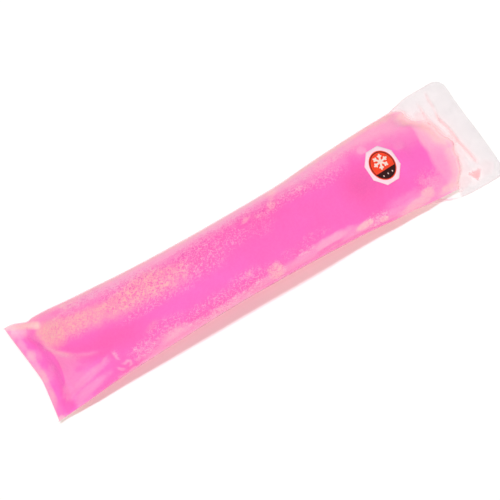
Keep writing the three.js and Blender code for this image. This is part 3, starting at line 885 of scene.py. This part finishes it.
class Nodes:
    """Short calls that add nodes to one material and join them."""

    def __init__(self, name):
        self.material = bpy.data.materials.new(name)
        self.material.use_nodes = True
        self.tree = self.material.node_tree
        self.tree.nodes.clear()

    def add(self, kind, inputs=None, **settings):
        node = self.tree.nodes.new(kind)
        for key, value in settings.items():
            setattr(node, key, value)
        for key, value in (inputs or {}).items():
            self.put(node.inputs[key], value)
        return node

    def put(self, socket, value):
        if isinstance(value, bpy.types.NodeSocket):
            self.tree.links.new(value, socket)
        else:
            socket.default_value = value

    def value(self, name):
        return self.add("ShaderNodeAttribute", attribute_name=name).outputs["Fac"]

    def math(self, operation, *values, clamp=False):
        node = self.add("ShaderNodeMath", operation=operation, use_clamp=clamp)
        for socket, value in zip(node.inputs, values):
            self.put(socket, value)
        return node.outputs[0]

    def mix(self, share, first, second, blend="MIX"):
        node = self.add("ShaderNodeMix", data_type="RGBA", blend_type=blend)
        self.put(node.inputs[0], share)
        self.put(node.inputs[6], first)
        self.put(node.inputs[7], second)
        return node.outputs[2]

    def range(self, value, low, high, to_low=0.0, to_high=1.0):
        inputs = {0: value, 1: low, 2: high, 3: to_low, 4: to_high}
        return self.add("ShaderNodeMapRange", inputs, clamp=True).outputs[0]

    def noise(self, scale, detail=2.0, roughness=0.5, distortion=0.0):
        place = self.add("ShaderNodeTexCoord").outputs["Object"]
        inputs = {
            "Vector": place, "Scale": scale, "Detail": detail,
            "Roughness": roughness, "Distortion": distortion,
        }
        return self.add("ShaderNodeTexNoise", inputs).outputs["Fac"]

    def strokes(self, scale, turn):
        """Noise drawn out twice as long as wide, along a line at the given turn from X, and curled."""
        place = self.add("ShaderNodeTexCoord").outputs["Object"]
        inputs = {"Vector": place, "Rotation": (0.0, 0.0, math.radians(turn)), "Scale": (1.45, 0.7, 1.0)}
        drawn = self.add("ShaderNodeMapping", inputs, vector_type="TEXTURE").outputs[0]
        inputs = {"Vector": drawn, "Scale": scale, "Detail": 2.5, "Roughness": 0.6, "Distortion": 1.1}
        return self.add("ShaderNodeTexNoise", inputs).outputs["Fac"]

    def bump(self, height, strength, distance):
        inputs = {"Height": height, "Strength": strength, "Distance": distance}
        return self.add("ShaderNodeBump", inputs).outputs["Normal"]

    def finish(self, shader):
        self.add("ShaderNodeOutputMaterial", {"Surface": shader})
        return self.material


def opaque(colour):
    return (*colour, 1.0)


def ice_material(colours):
    """Bright clear ice with warm, cream and pale frost under its surface, which also carries painted
    highlights, a painted reflection and painted light; its deep colour is mostly painted shade. The
    frost is grainy where it is thin, and breaks up into slanting strokes where flecks are stored. Clear
    ice is glossier."""
    n = Nodes("pink ice")
    fine = n.noise(1100.0, 4.0, 0.6)
    speck = n.noise(2600.0, 2.0, 0.5)
    cloud = n.noise(120.0, 3.0, 0.5)
    grain = n.math("ADD", n.range(fine, 0.3, 0.7, -0.6, 0.6), n.range(speck, 0.3, 0.7, -0.3, 0.3))
    one, other = n.strokes(1000.0, 52.0), n.strokes(1150.0, -24.0)
    flecks = n.value("flecks")
    light = n.range(n.math("MAXIMUM", one, other), 0.55, 0.62)
    dark = n.range(n.math("MINIMUM", one, other), 0.45, 0.38)
    contrast = n.math("MULTIPLY", n.math("SUBTRACT", light, dark), flecks)

    def broken(name, depth, reach):
        amount = n.value(name)
        edge = n.math("MULTIPLY", amount, n.math("SUBTRACT", 1.3, amount))
        grainy = n.math("MULTIPLY_ADD", n.math("MULTIPLY", grain, depth), edge, amount)
        spread = n.math("MULTIPLY", contrast, n.math("MULTIPLY_ADD", amount, reach, 0.0))
        return n.math("ADD", grainy, spread, clamp=True)

    cream, peach = broken("cream_frost_and_highlight", 0.4, 0.6), broken("peach_frost_and_highlight", 0.5, 0.9)
    added = n.math("MULTIPLY", n.math("MULTIPLY", light, flecks), 0.6)
    pale = n.math("ADD", broken("pale_frost_and_painted_light", 0.3, 0.7), added, clamp=True)
    base = n.mix(n.range(cloud, 0.35, 0.7), opaque(colours.ice), opaque(colours.ice_cloud))
    base = n.mix(n.value("cool_and_painted_light_colour"), base, opaque(colours.ice_cool_and_painted_light))
    shade = n.math("MULTIPLY_ADD", n.math("MULTIPLY", dark, flecks), 0.5, n.value("deep_and_shade_colour"), clamp=True)
    colour = n.mix(shade, base, opaque(colours.ice_deep_and_shade))
    colour = n.mix(pale, colour, opaque(colours.pale_frost_and_painted_light))
    colour = n.mix(peach, colour, opaque(colours.peach_frost_and_highlight))
    colour = n.mix(cream, colour, opaque(colours.cream_frost_and_highlight))
    frost = n.math("MAXIMUM", n.math("MAXIMUM", peach, pale), cream)
    rough = n.range(n.math("ADD", frost, grain), -0.1, 0.9, 0.25, 0.6)
    height = n.math("MULTIPLY", n.math("ADD", fine, speck), n.math("ADD", frost, 0.12))
    shader = n.add("ShaderNodeBsdfPrincipled", {
        "Base Color": colour,
        "Roughness": rough,
        "Normal": n.bump(height, 0.35, 0.0002),
        "IOR": 1.31,
        "Specular IOR Level": 0.3,
        "Subsurface Weight": 0.3,
        "Subsurface Radius": (1.0, 0.35, 0.55),
        "Subsurface Scale": 0.003,
    })
    through = n.mix(n.value("thin"), opaque(colours.shadow), opaque(colours.shadow_thin))
    lamp = n.add("ShaderNodeBsdfTransparent", {"Color": through})
    path = n.add("ShaderNodeLightPath").outputs["Is Shadow Ray"]
    both = n.add("ShaderNodeMixShader", {0: path, 1: shader.outputs[0], 2: lamp.outputs[0]})
    return n.finish(both.outputs[0])


def film_material(colours):
    """Thin clear film: it shows what lies behind it and mirrors a little by its Fresnel share. Where
    it is empty it is greyer and milky, and it is warm and milkier along creases and over juice, and along
    its side folds, where this is a painted highlight."""
    n = Nodes("clear film")
    crease_and_fold_highlight, juice, on_ice = n.value("crease_and_fold_highlight"), n.value("juice"), n.value("on_ice")
    fine = n.noise(900.0, 3.0, 0.5)
    wavy = n.noise(140.0, 2.0, 0.5)
    empty = n.math("SUBTRACT", 1.0, on_ice)
    milky = n.math("MULTIPLY", n.range(wavy, 0.3, 0.75, 0.09, 0.17), empty)
    milky = n.math("MULTIPLY_ADD", juice, 0.75, milky)
    milky = n.math("MULTIPLY_ADD", crease_and_fold_highlight, 0.3, milky, clamp=True)
    warm = n.math("MULTIPLY", n.math("MAXIMUM", crease_and_fold_highlight, juice), 3.0, clamp=True)
    tint = n.mix(warm, opaque(colours.film), opaque(colours.film_crease_and_highlight))
    normal = n.bump(n.math("ADD", fine, n.math("MULTIPLY", wavy, 3.0)), 0.2, 0.0003)
    behind = n.mix(empty, (0.995, 0.995, 0.995, 1.0), opaque(colours.film_clear))
    clear = n.add("ShaderNodeBsdfTransparent", {"Color": behind})
    haze = n.add("ShaderNodeBsdfPrincipled", {
        "Base Color": tint, "Roughness": 0.35, "Specular IOR Level": 0.25, "Normal": normal,
    })
    body = n.add("ShaderNodeMixShader", {0: milky, 1: clear.outputs[0], 2: haze.outputs[0]})
    shine = n.add("ShaderNodeBsdfGlossy", {"Color": (1, 1, 1, 1), "Roughness": 0.12, "Normal": normal})
    mirror = n.add("ShaderNodeFresnel", {"IOR": 1.45, "Normal": normal}).outputs[0]
    share = n.math("MULTIPLY", mirror, 0.35)
    film = n.add("ShaderNodeMixShader", {0: share, 1: body.outputs[0], 2: shine.outputs[0]})
    lamp = n.add("ShaderNodeBsdfTransparent", {"Color": (0.98, 0.97, 0.97, 1)})
    path = n.add("ShaderNodeLightPath").outputs["Is Shadow Ray"]
    both = n.add("ShaderNodeMixShader", {0: path, 1: film.outputs[0], 2: lamp.outputs[0]})
    return n.finish(both.outputs[0])


def paper_material(name, colour, variation):
    """Smooth coated paper with a faint unevenness of ink and fibre."""
    n = Nodes(name)
    fibre = n.noise(2600.0, 3.0, 0.6)
    ink = n.noise(500.0, 2.0, 0.5)
    darker = tuple(c * (1 - variation) for c in colour)
    shade = n.mix(n.range(ink, 0.35, 0.65), opaque(colour), opaque(darker))
    shader = n.add("ShaderNodeBsdfPrincipled", {
        "Base Color": shade,
        "Roughness": n.range(fibre, 0.3, 0.7, 0.32, 0.48),
        "Normal": n.bump(fibre, 0.15, 0.00005),
    })
    return n.finish(shader.outputs[0])


def floor_material(colour):
    """A matt pale sheet, barely uneven."""
    n = Nodes("pale sheet")
    fine = n.noise(60.0, 3.0, 0.5)
    darker = tuple(c * 0.985 for c in colour)
    shade = n.mix(n.range(fine, 0.35, 0.65), opaque(colour), opaque(darker))
    shader = n.add("ShaderNodeBsdfPrincipled", {
        "Base Color": shade, "Roughness": 0.9, "Specular IOR Level": 0.1,
    })
    return n.finish(shader.outputs[0])


# The lamps stand this far off, in metres. The key is small, and the fill is wide and warm.
LAMP_DISTANCE = 1.3
KEY_SIZE, FILL_SIZE = 0.12, 0.9
FILL_COLOUR = (1.0, 0.99, 0.87)


def add_light(name, aim, azimuth, elevation, size, power, colour=(1, 1, 1), shadow=True):
    """A square lamp that faces aim from the given direction, in degrees."""
    a, e = math.radians(azimuth), math.radians(elevation)
    towards = Vector((math.cos(e) * math.cos(a), math.cos(e) * math.sin(a), math.sin(e)))
    lamp = bpy.data.lights.new(name, "AREA")
    lamp.size, lamp.energy = size, power
    lamp.color, lamp.use_shadow = colour, shadow
    place = bpy.data.objects.new(name, lamp)
    place.location = aim + towards * LAMP_DISTANCE
    place.rotation_euler = (-towards).to_track_quat("-Z", "Y").to_euler()
    place.visible_glossy = False
    bpy.context.scene.collection.objects.link(place)


def build_stage(context):
    """A pale floor, soft lights, and a camera that looks down on the pop."""
    stage = context.scene.ice_pop_stage
    half = stage.floor_size / 2
    floor_mesh = bpy.data.meshes.new("floor")
    corners = [(-half, -half, 0.0), (half, -half, 0.0), (half, half, 0.0), (-half, half, 0.0)]
    floor_mesh.from_pydata(corners, [], [(0, 1, 2, 3)])
    floor = bpy.data.objects.new("floor", floor_mesh)
    floor.data.materials.append(floor_material(stage.floor_colour))
    context.scene.collection.objects.link(floor)

    middle = Vector((0.0, 0.0, 0.01))
    add_light("key", middle, stage.key_azimuth, stage.key_elevation, KEY_SIZE, stage.key_power)
    add_light("fill", middle, stage.fill_azimuth, stage.fill_elevation, FILL_SIZE, stage.fill_power,
              FILL_COLOUR, shadow=False)
    world = bpy.data.worlds.new("studio")
    world.use_nodes = True
    back = world.node_tree.nodes["Background"]
    back.inputs["Color"].default_value = (1.0, 1.0, 1.0, 1.0)
    back.inputs["Strength"].default_value = stage.sky
    context.scene.world = world
    context.scene.view_settings.view_transform = "Standard"

    a, e = math.radians(stage.azimuth), math.radians(stage.elevation)
    back_off = Vector((math.sin(a) * math.cos(e), -math.cos(a) * math.cos(e), math.sin(e)))
    aim = Vector(stage.aim)
    lens = bpy.data.cameras.new("camera")
    lens.sensor_width = 36.0
    lens.lens = stage.lens
    camera = bpy.data.objects.new("camera", lens)
    camera.location = aim + back_off * stage.distance
    camera.rotation_euler = (-back_off).to_track_quat("-Z", "Y").to_euler()
    context.scene.collection.objects.link(camera)
    context.scene.camera = camera


def length_property(name, description, millimetres):
    return FloatProperty(
        name=name, description=description, default=millimetres * MM, subtype="DISTANCE", unit="LENGTH"
    )


def number_property(name, description, value):
    return FloatProperty(name=name, description=description, default=value)


def colour_property(name, description, colour):
    return FloatVectorProperty(
        name=name, description=description, default=colour, subtype="COLOR", size=3, min=0.0, max=1.0
    )


class IcePopSizes(bpy.types.PropertyGroup):
    """Sizes of the sleeve"""

    middle_length: length_property("Length", "Along the middle of the sleeve", 191.9)
    film_stack: length_property("Film", "Both walls of the empty film with the air between", 0.3)
    seal_lift: length_property("Seal", "Height of the bottom seal above the table", 2.4)
    flap_lift: length_property("Flap", "Height of the empty film above the table", 1.5)


class IcePopLabel(bpy.types.PropertyGroup):
    """Sizes of the label and its print"""

    along: length_property("Along", "Size of the label along the sleeve", 12.3)
    across: length_property("Across", "Size of the label across the sleeve", 14.7)
    flake_size: length_property("Snowflake", "Width of the snowflake", 6.2)
    flake_stroke: length_property("Stroke", "Width of the snowflake's arms", 0.72)
    flake_up: length_property("Snowflake up", "Its middle lies this far above the label's", 1.5)
    dark_level: number_property("Dark", "Top of the dark part, as a share of the half height", -0.36)
    turn: FloatProperty(
        name="Turn", description="Turn of the label", default=math.radians(3.5), subtype="ANGLE"
    )
    print_share: number_property("Print", "Share that is printed", 0.8)


class IcePopColours(bpy.types.PropertyGroup):
    """Colours of the ice, the film and the label"""

    ice: colour_property("Ice", "Clear ice", (1.0, 0.158, 0.52))
    ice_cloud: colour_property("Cloud", "Faint clouds in the ice", (1.0, 0.166, 0.545))
    # Also painted light over the valley by the seal and on the slope down to the ice's end.
    ice_cool_and_painted_light: colour_property("Cool", "Where the ice is more violet", (1.0, 0.178, 0.60))
    # Also painted shade beside the label and on the crown's slope above the step.
    ice_deep_and_shade: colour_property("Deep", "Where the ice looks deepest", (0.82, 0.132, 0.435))
    # Also the painted highlight next to the step, a painted reflection along the -Y side, and painted light
    # on the slope down to the ice's end.
    pale_frost_and_painted_light: colour_property("Pale frost", "Light pink frost", (1.0, 0.46, 0.65))
    # Also the painted highlight on the crown and along the +Y fold.
    peach_frost_and_highlight: colour_property("Peach frost", "Warm frost", (0.97, 0.50, 0.49))
    # Also painted highlights along the +Y fold, along the step at the seal and on the folded corner.
    cream_frost_and_highlight: colour_property("Cream frost", "Thick light frost", (1.0, 0.63, 0.60))
    shadow_thin: colour_property("Thin shadow", "Light that thin ice lets through", (0.62, 0.74, 0.66))
    shadow: colour_property("Shadow", "Light that the ice lets through", (0.48, 0.105, 0.0))
    film: colour_property("Film haze", "Milkiness of the film", (0.68, 0.635, 0.67))
    # Also the painted highlight along the side folds.
    film_crease_and_highlight: colour_property("Crease", "Film along creases and over juice", (0.92, 0.51, 0.54))
    film_clear: colour_property("Film tint", "What the film does to what lies behind", (0.94, 0.925, 0.935))
    paper: colour_property("Paper", "The label's rim", (1.0, 0.71, 0.82))
    print_colour: colour_property("Print", "The label's oval print", (0.95, 0.06, 0.02))
    dark: colour_property("Dark", "Dark part and ring of the print", (0.03, 0.004, 0.005))
    motif: colour_property("Motif", "Snowflake and dots", (0.95, 0.72, 0.66))


class IcePopStage(bpy.types.PropertyGroup):
    """Floor, camera and lights"""

    floor_size: length_property("Floor", "Side of the floor", 4000.0)
    floor_colour: colour_property("Floor colour", "The pale sheet", (0.97, 0.97, 0.97))
    azimuth: number_property("Azimuth", "Camera, degrees", -30.1)
    elevation: number_property("Elevation", "Camera, degrees", 83.0)
    distance: length_property("Distance", "From the camera to its aim", 720.0)
    lens: number_property("Lens", "Focal length in mm", 139.1)
    aim: FloatVectorProperty(
        name="Aim", description="Point the camera looks at", default=(-0.0020, 0.0007, 0.006), subtype="XYZ"
    )
    key_azimuth: number_property("Key side", "Direction of the key light", 95.0)
    key_elevation: number_property("Key height", "Height of the key light", 71.0)
    key_power: number_property("Key power", "Watts", 11.2)
    fill_azimuth: number_property("Fill side", "Direction of the fill light", 268.0)
    fill_elevation: number_property("Fill height", "Height of the fill light", 29.0)
    fill_power: number_property("Fill power", "Watts", 8.8)
    sky: number_property("Sky", "Strength of the light from all round", 0.26)


class ICEPOP_OT_ice(bpy.types.Operator):
    """Build the ice"""

    bl_idname = "ice_pop.ice"
    bl_label = "Ice"

    def execute(self, context):
        build_ice(context)
        return {"FINISHED"}


class ICEPOP_OT_film(bpy.types.Operator):
    """Build the clear sleeve around the ice"""

    bl_idname = "ice_pop.film"
    bl_label = "Film"

    def execute(self, context):
        build_film(context)
        return {"FINISHED"}


class ICEPOP_OT_label(bpy.types.Operator):
    """Build the label and its print"""

    bl_idname = "ice_pop.label"
    bl_label = "Label"

    def execute(self, context):
        build_label(context)
        return {"FINISHED"}


class ICEPOP_OT_stage(bpy.types.Operator):
    """Build the floor, the lights and the camera"""

    bl_idname = "ice_pop.stage"
    bl_label = "Stage"

    def execute(self, context):
        build_stage(context)
        return {"FINISHED"}


class ICEPOP_PT_panel(bpy.types.Panel):
    """Lists the pop's pieces"""

    bl_label = "Ice Pop"
    bl_space_type = "VIEW_3D"
    bl_region_type = "UI"
    bl_category = "Ice Pop"

    def draw(self, context):
        for operator in OPERATORS:
            self.layout.operator(operator.bl_idname)


GROUPS = {
    "ice_pop_sizes": IcePopSizes,
    "ice_pop_label": IcePopLabel,
    "ice_pop_colours": IcePopColours,
    "ice_pop_stage": IcePopStage,
}
OPERATORS = (ICEPOP_OT_ice, ICEPOP_OT_film, ICEPOP_OT_label, ICEPOP_OT_stage)


def register():
    for group in (*GROUPS.values(), *OPERATORS, ICEPOP_PT_panel):
        bpy.utils.register_class(group)
    for name, group in GROUPS.items():
        setattr(bpy.types.Scene, name, PointerProperty(type=group))


def unregister():
    for name in GROUPS:
        delattr(bpy.types.Scene, name)
    for group in reversed((*GROUPS.values(), *OPERATORS, ICEPOP_PT_panel)):
        bpy.utils.unregister_class(group)


def main():
    """Builds the pop and its stage."""
    register()
    bpy.ops.ice_pop.ice()
    bpy.ops.ice_pop.film()
    bpy.ops.ice_pop.label()
    bpy.ops.ice_pop.stage()


if __name__ == "__main__":
    main()
